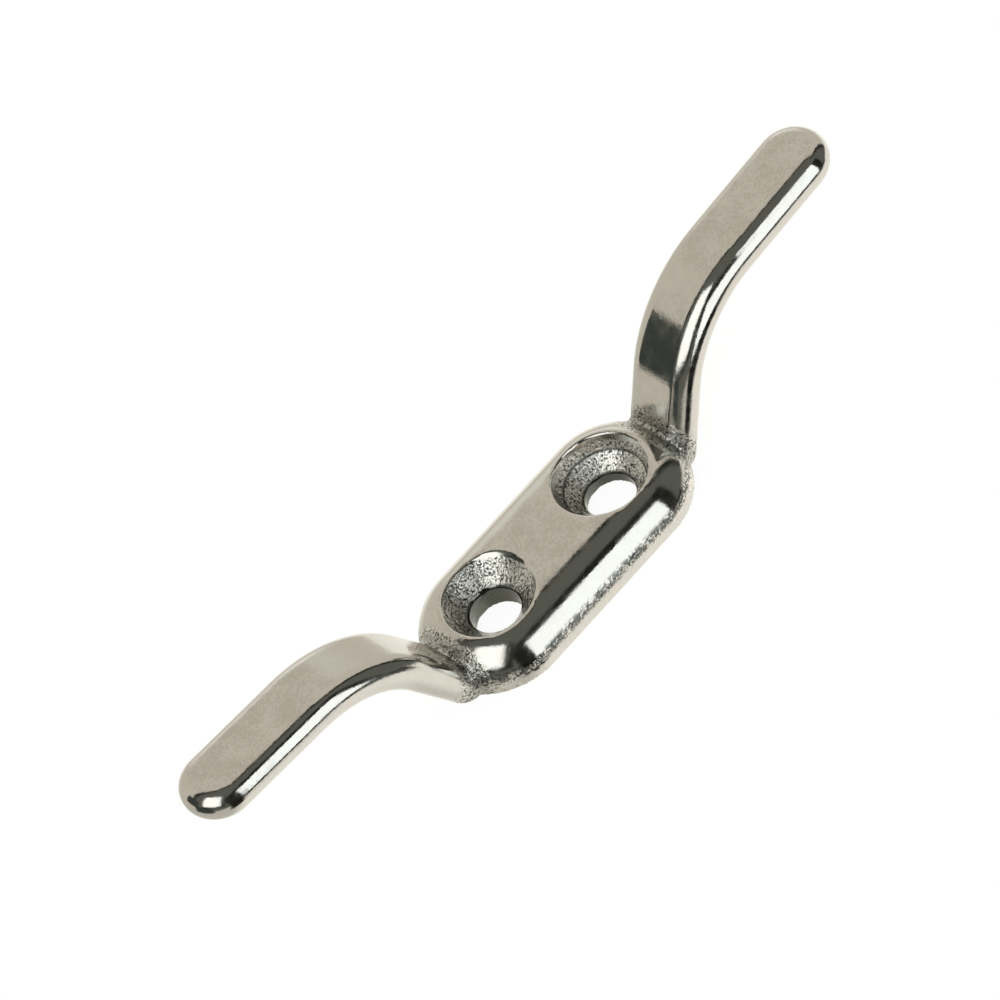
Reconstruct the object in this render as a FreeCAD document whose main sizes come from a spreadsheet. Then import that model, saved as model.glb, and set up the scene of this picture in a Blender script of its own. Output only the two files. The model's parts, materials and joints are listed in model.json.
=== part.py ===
import FreeCAD, Part
import math
import os
import Sketcher

# A two-horned rope cleat, 100 mm from tip to tip: a rounded pad with two countersunk screw
# holes, and a flat horn with full-round edges rising from each of its ends.
# +Z is up from the mounting surface, +X is towards the horn beside the deeper countersink,
# and the origin is the centre of the pad's underside.

DIMENSIONS = {
    "pad_height": 5.6,
    "pad_width": 17.0,
    "pad_end_centre": 9.65,    # origin to the centre of a rounded end
    "shoulder_radius": 4.9,
    "hole_spacing": 18.1,
    "hole_radius": 2.85,
    "sink_radius": 5.5,        # both countersinks at the pad's top
    "plain_foot": 2.65,        # height where the plain countersink meets its hole
    "deep_foot": 1.45,
    "wall_foot": 3.35,         # foot of the steep wall above the deeper countersink's cone
    "wall_foot_radius": 4.65,
    "horn_width": 8.4,
    "horn_thickness": 4.1,
    "horn_reach": 50.0,        # origin to a horn's tip
    "tip_height": 17.6,        # the horn's middle line at its tip
    "horn_foot": 16.9,         # where the ramp's middle line would meet the mounting surface
    "ramp_angle": 61.5,
    "arm_angle": 4.5,
    "bend_radius": 15.6,       # the middle line, from ramp to arm
    "ramp_run_out": 5.0,       # the blank's ramp goes on this far below the mounting surface
    "heel_radius": 1.2,
    "tip_radius": 4.1,         # the tip's corners seen from above
    "edge_radius": 1.95,
}


def makeSheet(doc):
    sheet = doc.addObject("Spreadsheet::Sheet", "Dimensions")
    for row, (alias, value) in enumerate(DIMENSIONS.items(), start=1):
        sheet.set(f"A{row}", alias.replace("_", " "))
        sheet.set(f"B{row}", str(value))
        sheet.setAlias(f"B{row}", alias)
    doc.recompute()


def newSketch(body, name, role):
    sketch = body.newObject("Sketcher::SketchObject", name)
    plane = next(item for item in body.Origin.OriginFeatures if item.Role == role)
    sketch.AttachmentSupport = [(plane, "")]
    sketch.MapMode = "FlatFace"
    return sketch


def line(start, end):
    return Part.LineSegment(FreeCAD.Vector(*start, 0), FreeCAD.Vector(*end, 0))


def arc(centre, radius, first, last):
    circle = Part.Circle(FreeCAD.Vector(*centre, 0), FreeCAD.Vector(0, 0, 1), radius)
    return Part.ArcOfCircle(circle, math.radians(first), math.radians(last))


def constrain(sketch, kind, *where):
    return sketch.addConstraint(Sketcher.Constraint(kind, *where))


def drive(sketch, name, expression, kind, *where):
    # a named dimension whose value follows the sheet
    value = sketch.evalExpression(expression)
    if kind == "Angle":
        value = math.radians(value)
    index = constrain(sketch, kind, *where, value)
    sketch.renameConstraint(index, name)
    sketch.setExpression(f"Constraints.{name}", expression)


def addFillet(body, name, base, radius, wanted):
    # round every edge of the base feature that the test picks out
    chosen = [f"Edge{number}" for number, edge in enumerate(base.Shape.Edges, start=1) if wanted(edge)]
    fillet = body.newObject("PartDesign::Fillet", name)
    fillet.Base = (base, chosen)
    fillet.setExpression("Radius", f"Dimensions.{radius}")
    body.Document.recompute()
    return fillet


def makePadBlank(doc):
    body = doc.addObject("PartDesign::Body", "PadBlank")
    sketch = newSketch(body, "PadPlan", "XY_Plane")
    half = DIMENSIONS["pad_width"] / 2
    end = DIMENSIONS["pad_end_centre"]
    right, top, left, bottom = sketch.addGeometry([
        arc((end, 0), half, -90, 90),
        line((end, half), (-end, half)),
        arc((-end, 0), half, 90, 270),
        line((-end, -half), (end, -half)),
    ])
    constrain(sketch, "Tangent", right, 2, top, 1)
    constrain(sketch, "Tangent", top, 2, left, 1)
    constrain(sketch, "Tangent", left, 2, bottom, 1)
    constrain(sketch, "Tangent", bottom, 2, right, 1)
    constrain(sketch, "Equal", left, right)
    constrain(sketch, "PointOnObject", right, 3, -1)
    constrain(sketch, "Symmetric", right, 3, left, 3, -1, 1)
    drive(sketch, "EndRadius", "Dimensions.pad_width / 2", "Radius", right)
    drive(sketch, "EndCentre", "Dimensions.pad_end_centre", "DistanceX", -1, 1, right, 3)

    pad = body.newObject("PartDesign::Pad", "PadSlab")
    pad.Profile = sketch
    pad.setExpression("Length", "Dimensions.pad_height")
    doc.recompute()
    height = DIMENSIONS["pad_height"]
    addFillet(body, "PadShoulder", pad, "shoulder_radius",
              lambda edge: abs(edge.BoundBox.ZMin - height) < 1e-6)
    return body


def cutSink(body, name, side, corners):
    # turn a stepped profile round the screw's axis; corners are (radius, height) in the sheet's terms
    sketch = newSketch(body, f"{name}Profile", "XZ_Plane")
    sketch.setExpression("AttachmentOffset.Base.x", f"{side} * Dimensions.hole_spacing / 2")
    places = [tuple(sketch.evalExpression(text) for text in corner) for corner in corners]
    lines = sketch.addGeometry([line(a, b) for a, b in zip(places, places[1:] + places[:1])])
    for index, edge in enumerate(lines):
        constrain(sketch, "Coincident", edge, 2, lines[(index + 1) % len(lines)], 1)
        radius, height = corners[index]
        if radius == "0":
            constrain(sketch, "PointOnObject", edge, 1, -2)
        else:
            drive(sketch, f"Radius{index}", radius, "DistanceX", -1, 1, edge, 1)
        if height == "0":
            constrain(sketch, "PointOnObject", edge, 1, -1)
        else:
            drive(sketch, f"Height{index}", height, "DistanceY", -1, 1, edge, 1)
    before = body.Shape.Volume
    groove = body.newObject("PartDesign::Groove", name)
    groove.Profile = sketch
    groove.ReferenceAxis = (sketch, ["V_Axis"])
    groove.Angle = 360
    body.Document.recompute()
    removed = before - body.Shape.Volume
    print(name, "removes", round(removed, 1), "mm3")
    if removed < 1:
        raise RuntimeError(f"{name} cuts nothing")


def makePad(doc, blank):
    body = doc.addObject("PartDesign::Body", "base_pad")
    body.BaseFeature = blank
    doc.recompute()
    hole = "Dimensions.hole_radius"
    rim = "Dimensions.sink_radius"
    top = "Dimensions.pad_height"
    cutSink(body, "PlainSink", -1,
            [("0", "0"), (hole, "0"), (hole, "Dimensions.plain_foot"), (rim, top), ("0", top)])
    cutSink(body, "DeepSink", 1,
            [("0", "0"), (hole, "0"), (hole, "Dimensions.deep_foot"),
             ("Dimensions.wall_foot_radius", "Dimensions.wall_foot"), (rim, top), ("0", top)])
    return body


def hornGeometry():
    # The side view of the +X horn: the ramp and the arm are strips of one thickness about two
    # middle lines, joined by one bend.
    size = DIMENSIONS
    ramp = math.radians(size["ramp_angle"])
    arm = math.radians(size["arm_angle"])
    half = size["horn_thickness"] / 2
    bend = size["bend_radius"]
    rampWay = FreeCAD.Vector(math.cos(ramp), math.sin(ramp), 0)
    armWay = FreeCAD.Vector(math.cos(arm), math.sin(arm), 0)
    rampOut = FreeCAD.Vector(-rampWay.y, rampWay.x, 0)
    armOut = FreeCAD.Vector(-armWay.y, armWay.x, 0)
    foot = FreeCAD.Vector(size["horn_foot"], 0, 0)
    tip = FreeCAD.Vector(size["horn_reach"], size["tip_height"], 0)
    start = foot - rampWay * (size["ramp_run_out"] / rampWay.y)
    corner = foot + rampWay * ((tip - foot).cross(armWay).z / rampWay.cross(armWay).z)
    setback = bend * math.tan((ramp - arm) / 2)
    low = corner - rampWay * setback
    high = corner + armWay * setback
    centre = low - rampOut * bend
    turn = (90 + size["arm_angle"], 90 + size["ramp_angle"])

    def between(first, second):
        return line((first.x, first.y), (second.x, second.y))

    return [
        between(start - rampOut * half, low - rampOut * half),
        arc((centre.x, centre.y), bend - half, *turn),
        between(high - armOut * half, tip - armOut * half),
        between(tip - armOut * half, tip + armOut * half),
        between(tip + armOut * half, high + armOut * half),
        arc((centre.x, centre.y), bend + half, *turn),
        between(low + rampOut * half, start + rampOut * half),
        between(start + rampOut * half, start - rampOut * half),
        between(start, corner),
        between(corner, tip),
        Part.Point(foot),
    ]


def makeHornBlank(doc):
    body = doc.addObject("PartDesign::Body", "HornBlank")
    sketch = newSketch(body, "HornSide", "XZ_Plane")
    (rampUnder, bendUnder, armUnder, end, armTop, bendTop, rampTop, start, rampMiddle, armMiddle,
     foot) = sketch.addGeometry(hornGeometry())
    for guide in (rampMiddle, armMiddle, foot):
        sketch.setConstruction(guide, True)
    for first, firstEnd, second, secondEnd in (
            (rampUnder, 2, bendUnder, 2), (bendUnder, 1, armUnder, 1), (armTop, 2, bendTop, 1),
            (bendTop, 2, rampTop, 1)):
        constrain(sketch, "Tangent", first, firstEnd, second, secondEnd)
    for first, second in ((armUnder, end), (end, armTop), (rampTop, start), (start, rampUnder),
                          (rampMiddle, armMiddle)):
        constrain(sketch, "Coincident", first, 2, second, 1)
    for first, second in ((rampUnder, rampMiddle), (rampTop, rampMiddle), (armUnder, armMiddle),
                          (armTop, armMiddle)):
        constrain(sketch, "Parallel", first, second)
    constrain(sketch, "Perpendicular", end, armMiddle)
    constrain(sketch, "Perpendicular", start, rampMiddle)
    constrain(sketch, "Symmetric", end, 1, end, 2, armMiddle, 2)
    constrain(sketch, "Symmetric", start, 1, start, 2, rampMiddle, 1)
    constrain(sketch, "Coincident", bendUnder, 3, bendTop, 3)
    constrain(sketch, "PointOnObject", foot, 1, -1)
    constrain(sketch, "PointOnObject", foot, 1, rampMiddle)
    drive(sketch, "RampAngle", "Dimensions.ramp_angle", "Angle", rampMiddle)
    drive(sketch, "ArmAngle", "Dimensions.arm_angle", "Angle", armMiddle)
    drive(sketch, "Foot", "Dimensions.horn_foot", "DistanceX", -1, 1, foot, 1)
    drive(sketch, "RunOut", "Dimensions.ramp_run_out", "DistanceY", rampMiddle, 1, -1, 1)
    drive(sketch, "Reach", "Dimensions.horn_reach", "DistanceX", -1, 1, armMiddle, 2)
    drive(sketch, "TipHeight", "Dimensions.tip_height", "DistanceY", -1, 1, armMiddle, 2)
    drive(sketch, "BendUnder", "Dimensions.bend_radius - Dimensions.horn_thickness / 2", "Radius", bendUnder)
    drive(sketch, "BendTop", "Dimensions.bend_radius + Dimensions.horn_thickness / 2", "Radius", bendTop)

    strip = body.newObject("PartDesign::Pad", "HornStrip")
    strip.Profile = sketch
    strip.SideType = "Symmetric"
    strip.setExpression("Length", "Dimensions.horn_width")
    doc.recompute()

    width = DIMENSIONS["horn_width"]
    thickness = DIMENSIONS["horn_thickness"]
    reach = DIMENSIONS["horn_reach"]

    def isTipCorner(edge):
        return edge.BoundBox.XMin > reach - thickness and abs(edge.Length - thickness) < 1e-6

    corners = addFillet(body, "TipCorners", strip, "tip_radius", isTipCorner)

    def isLongEdge(edge):
        onSide = abs(abs(edge.CenterOfMass.y) - width / 2) < 1e-6 and edge.BoundBox.YLength < 1e-6
        return onSide and edge.Length > thickness + 1e-6

    rounded = addFillet(body, "RoundEdges", corners, "edge_radius", isLongEdge)

    below = newSketch(body, "BelowSurface", "XZ_Plane")
    depth = -2 * DIMENSIONS["ramp_run_out"]
    sides = below.addGeometry([line((0, depth), (reach, depth)), line((reach, depth), (reach, 0)),
                               line((reach, 0), (0, 0)), line((0, 0), (0, depth))])
    for index, side in enumerate(sides):
        constrain(below, "Coincident", side, 2, sides[(index + 1) % 4], 1)
        constrain(below, "Horizontal" if index % 2 == 0 else "Vertical", side)
    constrain(below, "Coincident", sides[2], 2, -1, 1)
    drive(below, "Across", "Dimensions.horn_reach", "DistanceX", -1, 1, sides[1], 2)
    drive(below, "Down", "2 * Dimensions.ramp_run_out", "DistanceY", sides[0], 1, -1, 1)
    trim = body.newObject("PartDesign::Pocket", "Sole")
    trim.Profile = below
    trim.SideType = "Symmetric"
    trim.setExpression("Length", "2 * Dimensions.horn_width")
    doc.recompute()
    print("Sole removes", round(rounded.Shape.Volume - trim.Shape.Volume, 1), "mm3")
    addFillet(body, "Heel", trim, "heel_radius", lambda edge: edge.BoundBox.ZMax < 1e-6)
    return body


def makeHorns(doc, blank, padBlank):
    right = doc.addObject("Part::Cut", "horn_right")
    right.Base = blank
    right.Tool = padBlank
    doc.recompute()
    left = doc.addObject("Part::Mirroring", "horn_left")
    left.Source = right
    left.Normal = FreeCAD.Vector(1, 0, 0)
    return [right, left]


def checkAndWrite(doc, pieces):
    for item in doc.Objects:
        if "Invalid" in item.State or "Error" in item.State:
            raise RuntimeError(f"{item.Name} failed: {item.State}")
        if item.isDerivedFrom("Sketcher::SketchObject") and not item.FullyConstrained:
            raise RuntimeError(f"{item.Name} is not fully constrained")
    for piece in pieces:
        shape = piece.Shape
        if shape.isNull() or not shape.isValid() or len(shape.Solids) != 1:
            raise RuntimeError(f"{piece.Label} is not one valid solid")
        box = shape.BoundBox
        print(piece.Label, "volume", round(shape.Volume, 1), "box",
              [round(v, 2) for v in (box.XMin, box.YMin, box.ZMin, box.XMax, box.YMax, box.ZMax)])
    os.makedirs("parts", exist_ok=True)
    for piece in pieces:
        piece.Shape.exportStep(f"parts/{piece.Label}.step")


doc = FreeCAD.newDocument("Cleat")
makeSheet(doc)
padBlank = makePadBlank(doc)
hornBlank = makeHornBlank(doc)
basePad = makePad(doc, padBlank)
pieces = [basePad] + makeHorns(doc, hornBlank, padBlank)
doc.recompute()
checkAndWrite(doc, pieces)
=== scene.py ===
import json
import math

import bpy
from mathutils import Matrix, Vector, noise
from mathutils.bvhtree import BVHTree

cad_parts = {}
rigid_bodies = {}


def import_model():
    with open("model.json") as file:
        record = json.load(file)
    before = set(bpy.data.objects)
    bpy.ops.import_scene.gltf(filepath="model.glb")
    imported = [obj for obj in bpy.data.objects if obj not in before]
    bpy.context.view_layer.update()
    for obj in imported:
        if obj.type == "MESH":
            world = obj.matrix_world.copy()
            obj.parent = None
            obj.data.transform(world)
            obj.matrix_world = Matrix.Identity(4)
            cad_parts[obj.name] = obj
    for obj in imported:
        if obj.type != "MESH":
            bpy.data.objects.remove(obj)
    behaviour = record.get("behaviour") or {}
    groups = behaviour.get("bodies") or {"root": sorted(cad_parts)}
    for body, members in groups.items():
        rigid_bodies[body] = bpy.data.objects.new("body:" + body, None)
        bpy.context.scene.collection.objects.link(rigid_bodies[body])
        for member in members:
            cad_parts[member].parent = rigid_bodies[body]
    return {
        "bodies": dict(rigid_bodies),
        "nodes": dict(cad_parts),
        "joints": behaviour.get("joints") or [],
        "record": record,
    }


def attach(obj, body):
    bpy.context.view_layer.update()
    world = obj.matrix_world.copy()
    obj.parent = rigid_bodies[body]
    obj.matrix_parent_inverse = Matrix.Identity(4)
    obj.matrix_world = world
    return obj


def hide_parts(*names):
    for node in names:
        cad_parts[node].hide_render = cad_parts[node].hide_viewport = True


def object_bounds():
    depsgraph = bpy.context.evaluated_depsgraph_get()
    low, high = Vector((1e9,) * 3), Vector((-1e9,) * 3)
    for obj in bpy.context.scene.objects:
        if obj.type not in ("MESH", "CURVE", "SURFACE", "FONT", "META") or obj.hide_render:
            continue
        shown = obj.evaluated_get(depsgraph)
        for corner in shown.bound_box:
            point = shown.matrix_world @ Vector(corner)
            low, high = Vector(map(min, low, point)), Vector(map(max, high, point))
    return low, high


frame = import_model()
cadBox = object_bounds()
mm = 0.001
touching = 0.01 * mm


# small helpers for working in edit mode

def deselectAll():
    for item in bpy.context.selected_objects:
        item.select_set(False)


def onlyActive(piece):
    deselectAll()
    piece.select_set(True)
    bpy.context.view_layer.objects.active = piece


def newFrom(name):
    piece = bpy.context.object
    piece.name = name
    piece.data.name = name
    onlyActive(piece)
    return piece


def pick(piece, wanted, kind="VERT"):
    # select the parts of a mesh that pass a test, leaving edit mode open
    onlyActive(piece)
    bpy.ops.object.mode_set(mode="EDIT")
    bpy.ops.mesh.select_mode(type=kind)
    bpy.ops.mesh.select_all(action="DESELECT")
    bpy.ops.object.mode_set(mode="OBJECT")
    parts = {"VERT": piece.data.vertices, "EDGE": piece.data.edges, "FACE": piece.data.polygons}[kind]
    for part in parts:
        part.select = wanted(part)
    bpy.ops.object.mode_set(mode="EDIT")


def pickAll(piece):
    pick(piece, lambda part: True)


def leaveEdit():
    bpy.ops.object.mode_set(mode="OBJECT")


def useModifier(piece, kind, **settings):
    onlyActive(piece)
    bpy.ops.object.modifier_add(type=kind)
    modifier = piece.modifiers[-1]
    for key, value in settings.items():
        setattr(modifier, key, value)
    bpy.ops.object.modifier_apply(modifier=modifier.name)


def applyPlace(piece):
    onlyActive(piece)
    bpy.ops.object.transform_apply(location=True, rotation=True, scale=True)


def facing(azimuth, elevation):
    # the way that looks towards these angles, in degrees, with the ways across and up from it
    turn = math.radians(azimuth)
    rise = math.radians(elevation)
    ahead = Vector((math.sin(turn) * math.cos(rise), -math.cos(turn) * math.cos(rise), math.sin(rise)))
    across = Vector((math.cos(turn), math.sin(turn), 0))
    return ahead, across, across.cross(ahead) * -1


def surfaceOf(piece):
    mesh = piece.data
    return BVHTree.FromPolygons([v.co for v in mesh.vertices], [p.vertices[:] for p in mesh.polygons])


# the pad's outside: half a disc drawn out to the middle, mirrored, with a big round shoulder

padShape = {
    "height": 5.6 * mm,
    "width": 17.0 * mm,
    "endCentre": 9.65 * mm,
    "shoulder": 4.9 * mm,
    "shoulderSteps": 32,
    "outlinePoints": 128,
}


def makePadBlank():
    half = padShape["width"] / 2
    height = padShape["height"]
    end = padShape["endCentre"]
    deselectAll()
    bpy.ops.mesh.primitive_cylinder_add(vertices=padShape["outlinePoints"], radius=half, depth=height,
                                        location=(end, 0, height / 2))
    pad = newFrom("padBlank")
    applyPlace(pad)
    pickAll(pad)
    bpy.ops.mesh.bisect(plane_co=(end, 0, 0), plane_no=(1, 0, 0), use_fill=True, clear_inner=True)
    leaveEdit()
    pick(pad, lambda f: f.normal.x < -0.9, "FACE")
    bpy.ops.mesh.extrude_region_move(TRANSFORM_OT_translate={"value": (-end, 0, 0)})
    bpy.ops.mesh.delete(type="FACE")
    leaveEdit()
    useModifier(pad, "MIRROR", use_axis=(True, False, False), use_clip=True, merge_threshold=touching)
    mesh = pad.data

    def isTopEdge(edge):
        a, b = (mesh.vertices[i].co for i in edge.vertices)
        onTop = min(a.z, b.z) > height - touching
        # a long edge straight across the top lies within the flat, so it isn't rounded
        return onTop and not (abs(a.x - b.x) < touching and abs(a.y - b.y) > half)

    pick(pad, isTopEdge, "EDGE")
    bpy.ops.mesh.bevel(offset=padShape["shoulder"], segments=padShape["shoulderSteps"], profile=0.5,
                       affect="EDGES", clamp_overlap=False)
    leaveEdit()
    print("pad blank", len(mesh.polygons), "faces")
    return pad


# screw holes: a disc pulled up through the pad, opened out at each step of radius and level

sinkShape = {
    "points": 128,
    "spacing": 18.1 * mm,
    "below": -1.0 * mm,
    "above": 1.0 * mm,
    "plain": [(2.85 * mm, 2.65 * mm), (5.5 * mm, 5.6 * mm)],
    "deep": [(2.85 * mm, 1.45 * mm), (4.65 * mm, 3.35 * mm), (5.5 * mm, 5.6 * mm)],
}


def makeSinkCutter(name, centre, steps):
    radius = steps[0][0]
    level = sinkShape["below"]
    deselectAll()
    bpy.ops.mesh.primitive_circle_add(vertices=sinkShape["points"], radius=radius, fill_type="NGON",
                                      location=(centre, 0, level))
    cutter = newFrom(name)
    applyPlace(cutter)
    pickAll(cutter)
    lastRadius, lastLevel = steps[-1]
    for nextRadius, nextLevel in steps + [(lastRadius, lastLevel + sinkShape["above"])]:
        bpy.ops.mesh.extrude_region_move(TRANSFORM_OT_translate={"value": (0, 0, nextLevel - level)})
        grow = nextRadius / radius
        bpy.ops.transform.resize(value=(grow, grow, 1), center_override=(centre, 0, nextLevel))
        radius, level = nextRadius, nextLevel
    bpy.ops.mesh.select_all(action="SELECT")
    bpy.ops.mesh.normals_make_consistent(inside=False)
    leaveEdit()
    return cutter


def cutAway(piece, cutter):
    useModifier(piece, "BOOLEAN", operation="DIFFERENCE", object=cutter, solver="EXACT")
    bpy.data.objects.remove(cutter)


# a horn: a stadium section run up the ramp, spun round the bend, run along the arm, spun at the tip

hornShape = {
    "width": 8.4 * mm,
    "thickness": 4.1 * mm,
    "reach": 50.0 * mm,
    "tipHeight": 17.6 * mm,
    "foot": 16.9 * mm,
    "rampAngle": math.radians(61.5),
    "armAngle": math.radians(4.5),
    "bendRadius": 15.6 * mm,
    "runOut": 5.0 * mm,
    "sectionPoints": 64,
    "spinSteps": 40,
}


def makeHornBlank():
    shape = hornShape
    ramp = shape["rampAngle"]
    arm = shape["armAngle"]
    edge = shape["thickness"] / 2
    flat = shape["width"] / 2 - edge
    rampWay = Vector((math.cos(ramp), 0, math.sin(ramp)))
    armWay = Vector((math.cos(arm), 0, math.sin(arm)))
    rampOut = Vector((-rampWay.z, 0, rampWay.x))
    armOut = Vector((-armWay.z, 0, armWay.x))
    foot = Vector((shape["foot"], 0, 0))
    tip = Vector((shape["reach"], 0, shape["tipHeight"]))
    across = tip - foot
    along = (across.x * armWay.z - across.z * armWay.x) / (rampWay.x * armWay.z - rampWay.z * armWay.x)
    corner = foot + rampWay * along
    setback = shape["bendRadius"] * math.tan((ramp - arm) / 2)
    start = foot - rampWay * shape["runOut"]
    low = corner - rampWay * setback
    high = corner + armWay * setback
    centre = low - rampOut * shape["bendRadius"]
    tipCentre = tip - armWay * (shape["width"] / 2)

    deselectAll()
    bpy.ops.mesh.primitive_circle_add(vertices=shape["sectionPoints"], radius=edge, location=start,
                                      rotation=(0, math.pi / 2 - ramp, 0))
    horn = newFrom("hornBlank")
    applyPlace(horn)
    for side in (1, -1):
        pick(horn, lambda v: v.co.y * side > touching)
        bpy.ops.transform.translate(value=(0, side * flat, 0))
        leaveEdit()
    pickAll(horn)
    bpy.ops.mesh.extrude_region_move(TRANSFORM_OT_translate={"value": low - start})
    bpy.ops.mesh.spin(steps=shape["spinSteps"], angle=arm - ramp, center=centre, axis=(0, 1, 0))
    bpy.ops.mesh.extrude_region_move(TRANSFORM_OT_translate={"value": tipCentre - high})
    leaveEdit()
    ahead = tipCentre.dot(armWay)
    pick(horn, lambda v: abs(v.co.dot(armWay) - ahead) < 2 * touching and v.co.y > -touching)
    bpy.ops.mesh.spin(steps=shape["spinSteps"], angle=math.pi, center=tipCentre, axis=armOut)
    bpy.ops.mesh.select_all(action="SELECT")
    bpy.ops.mesh.remove_doubles(threshold=touching)
    bpy.ops.mesh.normals_make_consistent(inside=False)
    bpy.ops.mesh.bisect(plane_co=(0, 0, 0), plane_no=(0, 0, 1), use_fill=True, clear_inner=True)
    bpy.ops.mesh.select_all(action="SELECT")
    bpy.ops.mesh.normals_make_consistent(inside=False)
    leaveEdit()
    box = [max(v.co[i] for v in horn.data.vertices) / mm for i in range(3)]
    print("horn blank", len(horn.data.polygons), "faces, reaches", [round(v, 2) for v in box])
    return horn


def makeUnion(padBlank, horns):
    onlyActive(padBlank)
    bpy.ops.object.duplicate()
    union = newFrom("cleat")
    half = sinkShape["spacing"] / 2
    cutAway(union, makeSinkCutter("plainSink", -half, sinkShape["plain"]))
    cutAway(union, makeSinkCutter("deepSink", half, sinkShape["deep"]))
    for horn in horns:
        onlyActive(horn)
        bpy.ops.object.duplicate()
        union.select_set(True)
        bpy.context.view_layer.objects.active = union
        bpy.ops.object.join()
    useModifier(union, "REMESH", mode="VOXEL", voxel_size=castShape["voxel"], adaptivity=0)
    return union


# the casting: rounded over at the roots and the countersinks' rims, and left rough in places

castShape = {
    "voxel": 0.15 * mm,
    "smoothing": 0.5,
    "polishPasses": 3,
    "rootSpan": (13 * mm, 24 * mm),
    "creviceFade": (0.35 * mm, 2.1 * mm),
    "crevicePasses": 80,
    "rootFade": (0.6 * mm, 2.7 * mm),
    "rootShade": 0.5,
    "rimFade": (0.25 * mm, 0.8 * mm),
    "rimPasses": 22,
    "lumpSize": 0.4 * mm,
    "lumpHeight": 0.11 * mm,
    "partAt": 16.95 * mm,
    "cutSnap": 0.0001 * mm,
    "joinWithin": 0.001 * mm,
    "sharpAngle": math.radians(60),
}

# where the casting skin is left: heights are above the underside, and underFade and levelFade are
# the upright part of the surface's normal
skinShape = {
    "belowRim": (-0.55 * mm, -0.3 * mm),
    "besideHole": (0.05 * mm, 0.45 * mm),
    "wanderPerMetre": 700,
    "wander": 0.4,
    "footTop": (2.1 * mm, 2.6 * mm),
    "footLow": (1.2 * mm, 1.8 * mm),
    "footShares": (0.25, 0.4),
    "endBoost": 0.8,
    "endsFrom": (12.5 * mm, 15.5 * mm),
    "footEnds": (18.5 * mm, 20.5 * mm),
    "cornerBoost": 1.5,
    "underFade": (-0.9, -0.5),
    "levelFade": (0.93, 0.985),
    "roundedAbove": (0.2 * mm, 0.75 * mm),
    "lumpsAbove": (0.2 * mm, 0.6 * mm),
}

# where shade is painted into the steel's colour
shadeShape = {
    "bore": (0.05 * mm, 0.4 * mm),
    "step": (0.06 * mm, 0.24 * mm),
    "specksPerMetre": (3600, 900),
    "broadSpecks": 0.5,
    "bandHeight": 2.1 * mm,
    "bandFade": (0.3 * mm, 0.75 * mm),
    "speckFade": (-0.22, 0.02),
    "bandShade": 0.85,
    "bandEnds": (16.5 * mm, 18.5 * mm),
}


def fade(value, near, far):
    # one up to near, nothing from far on
    step = min(max((far - value) / (far - near), 0), 1)
    return step * step * (3 - 2 * step)


def fadeIn(value, low, high):
    # nothing up to low, one from high on
    return fade(-value, -high, -low)


def weigh(piece, name, amount):
    group = piece.vertex_groups.new(name=name)
    for vertex, weight in zip(piece.data.vertices, amount):
        if weight > 0.01:
            group.add([vertex.index], weight, "REPLACE")


def rimAmount(co):
    # the mouth of each countersink
    rim = sinkShape["plain"][-1][0]
    away = [math.hypot(math.hypot(co.x - side * sinkShape["spacing"] / 2, co.y) - rim,
                       co.z - padShape["height"]) for side in (1, -1)]
    return fade(min(away), *castShape["rimFade"])


def castAmount(co, root):
    # the countersinks' slopes, the roots and the foot of the pad keep their casting skin
    hole = sinkShape["plain"][0][0]
    rim = sinkShape["plain"][-1][0]
    out = math.hypot(abs(co.x) - sinkShape["spacing"] / 2, co.y)
    rimNear, rimFar = skinShape["belowRim"]
    holeNear, holeFar = skinShape["besideHole"]
    inSink = fade(out, rim + rimNear, rim + rimFar) * fadeIn(out, hole + holeNear, hole + holeFar)
    wander = noise.noise(co * skinShape["wanderPerMetre"]) * skinShape["wander"]
    footNear, footFar = skinShape["footTop"]
    thin, thick = skinShape["footShares"]
    foot = fade(co.z, footNear, footFar + wander * mm) * (thin + thick * fadeIn(co.z, *skinShape["footLow"]))
    foot *= 1 + skinShape["endBoost"] * fadeIn(abs(co.x), *skinShape["endsFrom"])
    foot *= fade(abs(co.x), *skinShape["footEnds"])
    corner = min(1, root * (skinShape["cornerBoost"] + wander))
    return min(1, max(inSink, foot, corner))


def shadeAmount(co):
    # painted shade: the bores and the step in the deep countersink are darkened as if in shadow
    hole = sinkShape["deep"][0][0]
    rim = sinkShape["deep"][-1][0]
    stepRadius, stepLevel = sinkShape["deep"][1]
    out = math.hypot(abs(co.x) - sinkShape["spacing"] / 2, co.y)
    boreNear, boreFar = shadeShape["bore"]
    bore = fade(out, hole + boreNear, hole + boreFar)
    step = 0
    if co.x > 0:
        step = fade(math.hypot(out - stepRadius, co.z - stepLevel), *shadeShape["step"])
    # painted shade: a dark speckled band is painted round the pad's foot, where polishing stopped, standing
    # in for a dark reflection
    fine, broad = shadeShape["specksPerMetre"]
    speckle = noise.noise(co * fine) + shadeShape["broadSpecks"] * noise.noise(co * broad)
    band = 0
    if out > rim:
        band = fade(abs(co.z - shadeShape["bandHeight"]), *shadeShape["bandFade"])
        band *= fadeIn(speckle, *shadeShape["speckFade"])
    return max(bore, step, shadeShape["bandShade"] * band * fade(abs(co.x), *shadeShape["bandEnds"]))


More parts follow.
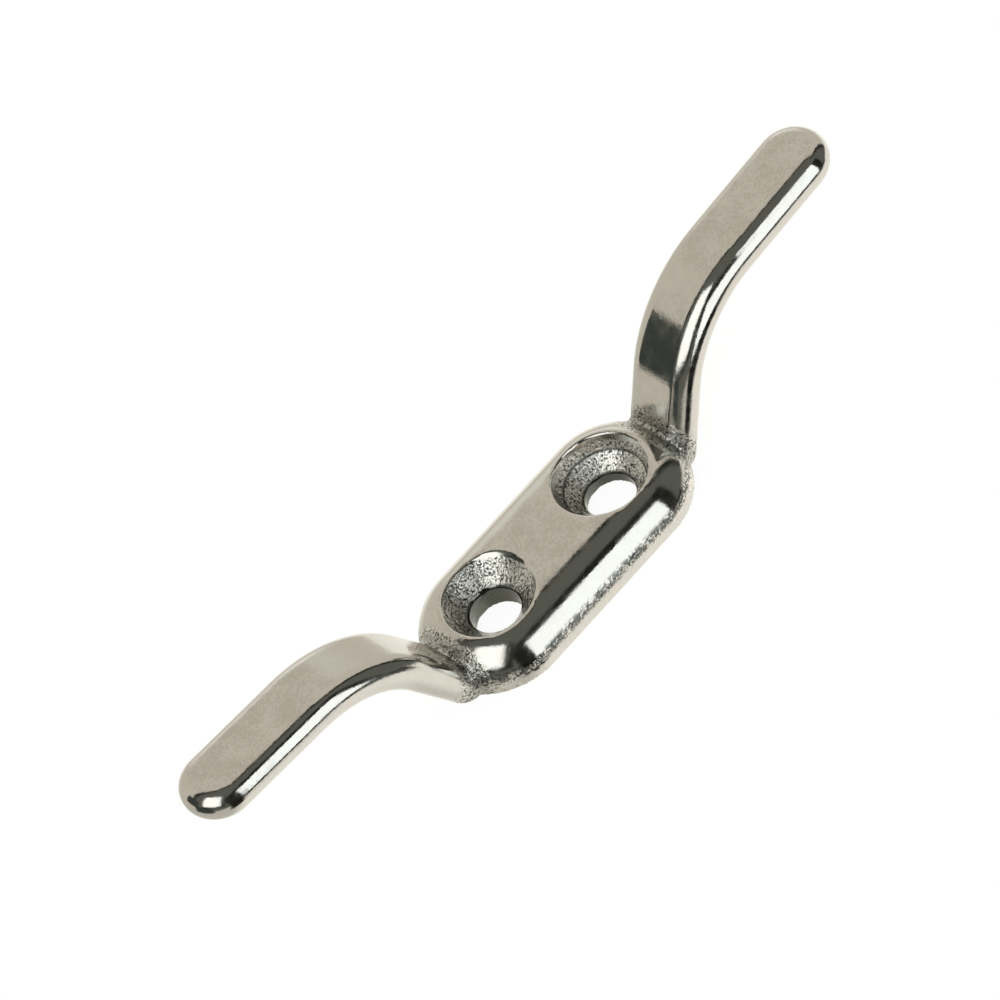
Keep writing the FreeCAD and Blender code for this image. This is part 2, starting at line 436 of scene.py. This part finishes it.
def rootAmounts(piece, padBlank, horns):
    # how near each vertex is to where the pad meets a horn: a narrow share to smooth, a wide one to roughen
    # and to darken with painted shade
    padSkin = surfaceOf(padBlank)
    hornSkin = [surfaceOf(horn) for horn in horns]
    near, far = castShape["rootSpan"]
    narrow, wide = [], []
    for vertex in piece.data.vertices:
        co = vertex.co
        smooth = rough = 0
        if near < abs(co.x) < far:
            toPad = padSkin.find_nearest(co)[3]
            toHorn = hornSkin[0 if co.x > 0 else 1].find_nearest(co)[3]
            away = max(toPad, toHorn)
            smooth = fade(away, *castShape["creviceFade"]) * fadeIn(co.z, *skinShape["roundedAbove"])
            rough = fade(away, *castShape["rootFade"])
        narrow.append(smooth)
        wide.append(rough)
    return narrow, wide


def finishCasting(piece, padBlank, horns):
    useModifier(piece, "SMOOTH", factor=castShape["smoothing"], iterations=castShape["polishPasses"])
    crevice, root = rootAmounts(piece, padBlank, horns)
    vertices = piece.data.vertices
    weigh(piece, "crevice", crevice)
    weigh(piece, "rim", [rimAmount(vertex.co) for vertex in vertices])
    for group in ("crevice", "rim"):
        useModifier(piece, "SMOOTH", factor=castShape["smoothing"],
                    iterations=castShape[group + "Passes"], vertex_group=group)
    # the flat underside is ground clean
    vertices = piece.data.vertices
    rough = [1 - fade(vertex.normal.z, *skinShape["underFade"]) for vertex in vertices]
    root = [amount * share for amount, share in zip(root, rough)]
    skin = [castAmount(vertex.co, amount) * share for vertex, amount, share in zip(vertices, root, rough)]
    weigh(piece, "skin", [amount * fadeIn(vertex.co.z, *skinShape["lumpsAbove"])
                          for vertex, amount in zip(vertices, skin)])
    lumps = bpy.data.textures.new("lumps", type="CLOUDS")
    lumps.noise_scale = castShape["lumpSize"]
    useModifier(piece, "DISPLACE", texture=lumps, texture_coords="LOCAL", mid_level=0.5,
                strength=castShape["lumpHeight"], vertex_group="skin")
    # the steel reads these three: casting skin, painted-in shade, and how level the surface is
    vertices = piece.data.vertices
    # painted shade also darkens the roots where the pad meets the horns
    shade = [max(shadeAmount(vertex.co), castShape["rootShade"] * amount)
             for vertex, amount in zip(vertices, root)]
    level = [fadeIn(vertex.normal.z, *skinShape["levelFade"]) for vertex in vertices]
    for name, amount in (("asCast", skin), ("shade", shade), ("level", level)):
        attribute = piece.data.attributes.new(name, "FLOAT", "POINT")
        attribute.data.foreach_set("value", amount)
    piece.vertex_groups.clear()
    # anything pushed out past the drawn size is brought back to it
    low, high = (Vector(corner) for corner in cadBox)
    for vertex in piece.data.vertices:
        vertex.co = [min(max(vertex.co[i], low[i]), high[i]) for i in range(3)]


def partOff(piece, name, cuts):
    # keep what lies between upright planes, and close the cut
    onlyActive(piece)
    bpy.ops.object.duplicate()
    part = newFrom(name)
    for place, way in cuts:
        pickAll(part)
        bpy.ops.mesh.bisect(plane_co=(place, 0, 0), plane_no=(way, 0, 0), use_fill=True, clear_outer=True,
                            threshold=castShape["cutSnap"])
        leaveEdit()
    pickAll(part)
    bpy.ops.mesh.remove_doubles(threshold=castShape["joinWithin"])
    bpy.ops.mesh.normals_make_consistent(inside=False)
    leaveEdit()
    onlyActive(part)
    bpy.ops.object.shade_smooth_by_angle(angle=castShape["sharpAngle"])
    print(name, len(part.data.polygons), "faces", [round(v / mm, 2) for v in part.dimensions])
    return part


padBlank = makePadBlank()
hornRight = makeHornBlank()
onlyActive(hornRight)
bpy.ops.object.duplicate()
hornLeft = newFrom("hornBlankLeft")
bpy.ops.transform.resize(value=(-1, 1, 1), center_override=(0, 0, 0))
applyPlace(hornLeft)
pickAll(hornLeft)
bpy.ops.mesh.normals_make_consistent(inside=False)
leaveEdit()
cleat = makeUnion(padBlank, [hornRight, hornLeft])
print("casting", len(cleat.data.polygons), "faces")
finishCasting(cleat, padBlank, [hornRight, hornLeft])
partAt = castShape["partAt"]
pad = partOff(cleat, "padPiece", [(partAt, 1), (-partAt, -1)])
rightHorn = partOff(cleat, "rightHornPiece", [(partAt, -1)])
leftHorn = partOff(cleat, "leftHornPiece", [(-partAt, 1)])
for piece in (padBlank, hornRight, hornLeft, cleat):
    bpy.data.objects.remove(piece)

for piece, node, slot in ((pad, "base_pad", "pad_steel"), (rightHorn, "horn_right", "horn_steel"),
                          (leftHorn, "horn_left", "horn_steel")):
    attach(piece, "root")
    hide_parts(node)

# the camera, well back with a long lens

view = {
    "azimuth": -25.36,
    "elevation": 49.68,
    "roll": -27.79,
    "distance": 885.3 * mm,
    "aim": (0.7 * mm, 7.11 * mm, 5.71 * mm),
    "lens": 301.7,
    "sensor": 36,
    "clipFrom": 10 * mm,
}


def makeCamera():
    place = facing(view["azimuth"], view["elevation"])[0] * view["distance"]
    data = bpy.data.cameras.new("camera")
    data.lens = view["lens"]
    data.sensor_width = view["sensor"]
    data.clip_start = view["clipFrom"]
    camera = bpy.data.objects.new("camera", data)
    bpy.context.scene.collection.objects.link(camera)
    look = Vector(view["aim"]) - place
    camera.rotation_mode = "QUATERNION"
    camera.rotation_quaternion = look.to_track_quat("-Z", "Y")
    camera.rotation_mode = "XYZ"
    camera.rotation_euler.rotate_axis("Z", math.radians(view["roll"]))
    camera.location = place
    bpy.context.scene.camera = camera


makeCamera()


# steel: polished metal whose casting skin shows through where it was never ground off

steelLook = {
    "colour": (0.70, 0.68, 0.64, 1),
    "worn": (0.60, 0.57, 0.525, 1),
    "bare": (0.99, 0.96, 0.90, 1),
    "polished": (0.06, 0.19),
    "rough": (0.09, 0.20),
    "polishSize": 1.6 * mm,
    "polishFrom": (0.3, 0.7),
    "patchSize": 0.5 * mm,
    "patchShare": 0.7,
    "skinFrom": (0.55, 1.05),
    "waveSize": 5.0 * mm,
    "waveHeight": 0.018 * mm,
    "markSize": 0.30 * mm,
    "markHeight": 0.008 * mm,
    "markStretch": (0.45, 1, 1),
    "grainSize": 0.25 * mm,
    "grainHeight": 0.08 * mm,
    "streakSize": 0.5 * mm,
    "streakHeight": 0.075 * mm,
    "streakRadius": 4.5 * mm,
    "streakStretch": 0.2,
    "pitFrom": (0.41, 0.48),
    "wearSizes": (0.3 * mm, 2.6 * mm),
    "wearShares": (0.6, 0.4),
    "wearFrom": (0.42, 0.58),
    "slopeWear": 0.25,
    "dull": (0.07, 0.07, 0.065, 1),
    "shade": (0.12, 0.125, 0.11, 1),
}


def addNode(tree, kind, **inputs):
    node = tree.nodes.new(kind)
    for key, value in inputs.items():
        if key in node.inputs:
            node.inputs[key].default_value = value
        else:
            setattr(node, key, value)
    return node


def noiseAt(tree, vector, size, detail, stretch=None):
    if stretch:
        squeeze = addNode(tree, "ShaderNodeVectorMath", operation="MULTIPLY")
        squeeze.inputs[1].default_value = stretch
        tree.links.new(vector, squeeze.inputs[0])
        vector = squeeze.outputs[0]
    cloud = addNode(tree, "ShaderNodeTexNoise", Scale=1 / size, Detail=detail, Roughness=0.6)
    tree.links.new(vector, cloud.inputs["Vector"])
    return cloud.outputs["Fac"]


def rangeOf(tree, value, low, high, fromLow=0.0, fromHigh=1.0, smooth=False):
    node = addNode(tree, "ShaderNodeMapRange")
    if smooth:
        node.interpolation_type = "SMOOTHSTEP"
    for index, number in ((1, fromLow), (2, fromHigh), (3, low), (4, high)):
        node.inputs[index].default_value = number
    tree.links.new(value, node.inputs[0])
    return node.outputs[0]


def mathOf(tree, operation, first, second):
    node = addNode(tree, "ShaderNodeMath", operation=operation)
    for socket, value in zip(node.inputs, (first, second)):
        if isinstance(value, (int, float)):
            socket.default_value = value
        else:
            tree.links.new(value, socket)
    return node.outputs[0]


def mixColour(tree, amount, first, second):
    node = addNode(tree, "ShaderNodeMix", data_type="RGBA")
    for socket, value in ((node.inputs[0], amount), (node.inputs[6], first), (node.inputs[7], second)):
        if isinstance(value, tuple):
            socket.default_value = value
        else:
            tree.links.new(value, socket)
    return node.outputs[2]


def bumpOf(tree, height, size, strength, before):
    node = addNode(tree, "ShaderNodeBump", Distance=size)
    tree.links.new(height, node.inputs["Height"])
    if isinstance(strength, (int, float)):
        node.inputs["Strength"].default_value = strength
    else:
        tree.links.new(strength, node.inputs["Strength"])
    if before:
        tree.links.new(before, node.inputs["Normal"])
    return node.outputs["Normal"]


def streakOf(tree, place):
    # grinding streaks running down the slope of each countersink
    parts = addNode(tree, "ShaderNodeSeparateXYZ")
    tree.links.new(place, parts.inputs[0])
    x, y, z = parts.outputs
    away = mathOf(tree, "SUBTRACT", mathOf(tree, "ABSOLUTE", x, 0.0), sinkShape["spacing"] / 2)
    around = mathOf(tree, "MULTIPLY", mathOf(tree, "ARCTAN2", y, away), steelLook["streakRadius"])
    joined = addNode(tree, "ShaderNodeCombineXYZ")
    tree.links.new(around, joined.inputs[0])
    tree.links.new(mathOf(tree, "MULTIPLY", z, steelLook["streakStretch"]), joined.inputs[1])
    return noiseAt(tree, joined.outputs[0], steelLook["streakSize"], 3)


def makeSteel(name):
    look = steelLook
    steel = bpy.data.materials.new(name)
    steel.use_nodes = True
    tree = steel.node_tree
    shader = tree.nodes["Principled BSDF"]
    place = addNode(tree, "ShaderNodeTexCoord").outputs["Object"]
    asCast = addNode(tree, "ShaderNodeAttribute", attribute_name="asCast").outputs["Fac"]
    patches = mathOf(tree, "MULTIPLY", noiseAt(tree, place, look["patchSize"], 3), look["patchShare"])
    skin = rangeOf(tree, mathOf(tree, "ADD", asCast, patches), 0, 1, *look["skinFrom"], True)
    marks = noiseAt(tree, place, look["markSize"], 2, look["markStretch"])
    grain = noiseAt(tree, place, look["grainSize"], 3)
    waves = noiseAt(tree, place, look["waveSize"], 1)
    # relief, from soft waves down to grain
    normal = bumpOf(tree, waves, look["waveHeight"], 1, None)
    normal = bumpOf(tree, marks, look["markHeight"], 1, normal)
    normal = bumpOf(tree, streakOf(tree, place), look["streakHeight"], skin, normal)
    normal = bumpOf(tree, grain, look["grainHeight"], skin, normal)
    tree.links.new(normal, shader.inputs["Normal"])
    # how rough it is, polished or as cast
    cloudy = noiseAt(tree, place, look["polishSize"], 3)
    polished = rangeOf(tree, cloudy, *look["polished"], *look["polishFrom"])
    rough = rangeOf(tree, grain, *look["rough"])
    blend = addNode(tree, "ShaderNodeMix", data_type="FLOAT")
    for socket, value in zip(blend.inputs[:1] + blend.inputs[2:4], (skin, polished, rough)):
        tree.links.new(value, socket)
    tree.links.new(blend.outputs[0], shader.inputs["Roughness"])
    # colour: wear on the level faces, dark pits in the casting skin, and the painted-in shade
    # the hollows of the grain relief in the casting skin are darkened
    pits = rangeOf(tree, grain, 1, 0, *look["pitFrom"], True)
    darkHollows = mathOf(tree, "MULTIPLY", pits, skin)
    fineSize, broadSize = look["wearSizes"]
    fineShare, broadShare = look["wearShares"]
    fine = mathOf(tree, "MULTIPLY", noiseAt(tree, place, fineSize, 6), fineShare)
    broad = mathOf(tree, "MULTIPLY", noiseAt(tree, place, broadSize, 3), broadShare)
    wear = rangeOf(tree, mathOf(tree, "ADD", fine, broad), 0, 1, *look["wearFrom"], True)
    level = addNode(tree, "ShaderNodeAttribute", attribute_name="level").outputs["Fac"]
    wear = mathOf(tree, "MULTIPLY", wear, rangeOf(tree, level, look["slopeWear"], 1))
    colour = mixColour(tree, wear, look["colour"], look["worn"])
    colour = mixColour(tree, skin, colour, look["bare"])
    colour = mixColour(tree, darkHollows, colour, look["dull"])
    shade = addNode(tree, "ShaderNodeAttribute", attribute_name="shade").outputs["Fac"]
    tree.links.new(mixColour(tree, shade, colour, look["shade"]), shader.inputs["Base Color"])
    shader.inputs["Metallic"].default_value = 1
    return steel


padSteel = makeSteel("padSteel")
hornSteel = makeSteel("hornSteel")
for piece, steel in ((pad, padSteel), (rightHorn, hornSteel), (leftHorn, hornSteel)):
    piece.data.materials.clear()
    piece.data.materials.append(steel)


# the studio around the cleat: the ceiling begins where y passes the lesser of ceilingLeft's and
# ceilingRight's mixes of x, y and z, and panels seen nearly side-on fade out over grazing

studio = {
    "dark": (0.125, 0.13, 0.112, 1),
    "black": (0.012, 0.012, 0.011, 1),
    "dim": (0.05, 0.058, 0.052, 1),
    "beige": (0.665, 0.63, 0.55, 1),
    "white": (1.49, 1.53, 1.5, 1),
    "backdrop": (1, 1, 1, 1),
    "floorFar": (0.62, 0.60, 0.54, 1),
    "floorNear": (1.02, 1.0, 0.92, 1),
    "ceilingLeft": (-0.42, 0, 0.42),
    "ceilingRight": (-1.3, 0, 0.54),
    "ceilingDip": -0.12,
    "ceilingEdge": (-0.02, 0.03),
    "frameEdge": (-0.20, -0.10),
    "frameShare": 0.95,
    "floorTurn": (-0.35, 0.3),
    "floorEdge": (-0.29, -0.2),
    "grazing": (0.02, 0.1),
}

# each panel is set by the way it faces and its edges on a plane one unit off; later ones cover earlier ones
panels = {
    "darkEnd": {"azimuth": -120, "elevation": 10, "across": (-0.28, 0.3), "up": (-0.27, 0.37),
                "edge": 0.06, "shade": "dim", "share": 1.0},
    "darkFoot": {"azimuth": -92, "elevation": -12, "across": (-0.3, 0.5), "up": (-0.3, 0.3),
                 "edge": 0.1, "shade": "dim", "share": 1.0},
    "nearFrame": {"azimuth": 12, "elevation": 12, "across": (-0.75, 0.66), "up": (-0.5, 0.80),
                  "edge": 0.14, "shade": "black", "share": 0.95},
    # painted shade: shadow and gap are black patches low in the studio, standing in for the floor's shade
    # close to the cleat
    "shadow": {"azimuth": -4, "elevation": -25, "across": (-0.34, 0.3), "up": (-0.24, 0.26),
               "edge": 0.12, "shade": "black", "share": 1.0},
    "gap": {"azimuth": 22, "elevation": -17, "across": (-0.8, 0.75), "up": (-0.13, 0.06),
            "edge": 0.04, "shade": "black", "share": 0.95},
    "sideFrame": {"azimuth": -70, "elevation": 20, "across": (-0.40, 0.80), "up": (-0.32, 1.22),
                  "edge": 0.12, "shade": "black", "share": 0.8},
    "sidePanel": {"azimuth": -70, "elevation": 20, "across": (-0.35, 0.48), "up": (-0.12, 1.07),
                  "edge": 0.16, "shade": "white", "share": 1.0},
    "farPanel": {"azimuth": 149, "elevation": 12, "across": (-0.25, 0.25), "up": (-0.2, 0.25),
                 "edge": 0.35, "shade": "white", "share": 0.4},
}


def dotOf(tree, vector, fixed):
    node = addNode(tree, "ShaderNodeVectorMath", operation="DOT_PRODUCT")
    tree.links.new(vector, node.inputs[0])
    node.inputs[1].default_value = fixed
    return node.outputs["Value"]


def panelMask(tree, way, panel):
    ahead, across, up = facing(panel["azimuth"], panel["elevation"])
    depth = dotOf(tree, way, ahead)
    depthSafe = mathOf(tree, "MAXIMUM", depth, studio["grazing"][0])
    mask = rangeOf(tree, depth, 0, 1, *studio["grazing"], True)
    half = panel["edge"] / 2
    for axis, (low, high) in ((across, panel["across"]), (up, panel["up"])):
        value = mathOf(tree, "DIVIDE", dotOf(tree, way, axis), depthSafe)
        mask = mathOf(tree, "MULTIPLY", mask, rangeOf(tree, value, 0, 1, low - half, low + half, True))
        mask = mathOf(tree, "MULTIPLY", mask, rangeOf(tree, value, 1, 0, high - half, high + half, True))
    return mask


def makeStudio():
    world = bpy.data.worlds.new("studio")
    bpy.context.scene.world = world
    world.use_nodes = True
    tree = world.node_tree
    way = addNode(tree, "ShaderNodeTexCoord").outputs["Generated"]
    split = addNode(tree, "ShaderNodeSeparateXYZ")
    tree.links.new(way, split.inputs[0])
    x, y, z = split.outputs
    # a pale ceiling over the far side, its edge running slantwise overhead
    left = dotOf(tree, way, studio["ceilingLeft"])
    right = dotOf(tree, way, studio["ceilingRight"])
    overhead = mathOf(tree, "MINIMUM", left, right)
    border = mathOf(tree, "MAXIMUM", mathOf(tree, "MULTIPLY", z, studio["ceilingDip"]), overhead)
    over = mathOf(tree, "SUBTRACT", y, border)
    frame = rangeOf(tree, over, 0, 1, *studio["frameEdge"], True)
    framed = mathOf(tree, "MULTIPLY", frame, studio["frameShare"])
    colour = mixColour(tree, framed, studio["dark"], studio["black"])
    ceiling = rangeOf(tree, over, 0, 1, *studio["ceilingEdge"], True)
    colour = mixColour(tree, ceiling, colour, studio["beige"])
    # the floor seen from low down, brighter to the right
    bright = rangeOf(tree, x, 0, 1, *studio["floorTurn"], True)
    floorColour = mixColour(tree, bright, studio["floorFar"], studio["floorNear"])
    below = rangeOf(tree, z, 1, 0, *studio["floorEdge"], True)
    colour = mixColour(tree, below, colour, floorColour)
    for panel in panels.values():
        mask = mathOf(tree, "MULTIPLY", panelMask(tree, way, panel), panel["share"])
        colour = mixColour(tree, mask, colour, studio[panel["shade"]])
    # the panels show only in the steel: behind it everything is plain white
    seen = addNode(tree, "ShaderNodeLightPath").outputs["Is Camera Ray"]
    colour = mixColour(tree, seen, colour, studio["backdrop"])
    tree.links.new(colour, tree.nodes["Background"].inputs["Color"])


makeStudio()

# the near softbox stands close by, set a little differently for the pad and for each horn: its edges
# are millimetres across and up from the cleat's middle

softboxes = {
    "padSoftbox": {"across": (5, 81), "up": (-24, 77), "lights": pad},
    "rightSoftbox": {"across": (5, 78), "up": (-6, 77), "lights": rightHorn},
    "rightArmSoftbox": {"across": (78, 122), "up": (-6, 165), "lights": rightHorn},
    "leftSoftbox": {"across": (0, 69), "up": (-6, 98), "lights": leftHorn},
}

boxWay = {"azimuth": -10, "distance": 100 * mm, "radiance": 1.47, "colour": (0.935, 0.985, 0.99)}


def makeSoftbox(name, box):
    ahead, across = facing(boxWay["azimuth"], 0)[:2]
    (left, right), (low, high) = box["across"], box["up"]
    level = Vector((0, 0, (low + high) / 2 * mm))
    place = ahead * boxWay["distance"] + across * (left + right) / 2 * mm + level
    bpy.ops.object.light_add(type="AREA", location=place)
    light = bpy.context.object
    light.name = name
    light.rotation_euler = ahead.to_track_quat("Z", "Y").to_euler()
    light.data.shape = "RECTANGLE"
    light.data.size = (right - left) * mm
    light.data.size_y = (high - low) * mm
    light.data.color = boxWay["colour"]
    light.data.energy = boxWay["radiance"] * math.pi * light.data.size * light.data.size_y
    lit = bpy.data.collections.new(name + "Lights")
    lit.objects.link(box["lights"])
    light.light_linking.receiver_collection = lit


for name, box in softboxes.items():
    makeSoftbox(name, box)

# a plain pale floor, clear when seen from below

floorLook = {
    "size": 2.0,
    "gap": 0.05 * mm,
    "colour": (0.2, 0.2, 0.2, 1),
    "glowColour": (1, 1, 1, 1),
    "glow": 0.93,
}


def makePaper():
    paper = bpy.data.materials.new("paper")
    paper.use_nodes = True
    tree = paper.node_tree
    shader = tree.nodes["Principled BSDF"]
    for key, value in (("Base Color", floorLook["colour"]), ("Roughness", 1), ("Specular IOR Level", 0),
                       ("Emission Color", floorLook["glowColour"]), ("Emission Strength", floorLook["glow"])):
        shader.inputs[key].default_value = value
    below = addNode(tree, "ShaderNodeNewGeometry").outputs["Backfacing"]
    clear = addNode(tree, "ShaderNodeBsdfTransparent").outputs[0]
    oneSided = addNode(tree, "ShaderNodeMixShader")
    for socket, value in zip(oneSided.inputs, (below, shader.outputs[0], clear)):
        tree.links.new(value, socket)
    tree.links.new(oneSided.outputs[0], tree.nodes["Material Output"].inputs["Surface"])
    return paper


def makeFloor():
    deselectAll()
    bpy.ops.mesh.primitive_plane_add(size=floorLook["size"], location=(0, 0, -floorLook["gap"]))
    floor = newFrom("floor")
    floor.data.materials.append(makePaper())
    floor.visible_glossy = False
    floor.visible_shadow = False
    return floor


makeFloor()
bpy.context.scene.view_settings.view_transform = "Standard"

print("ready")
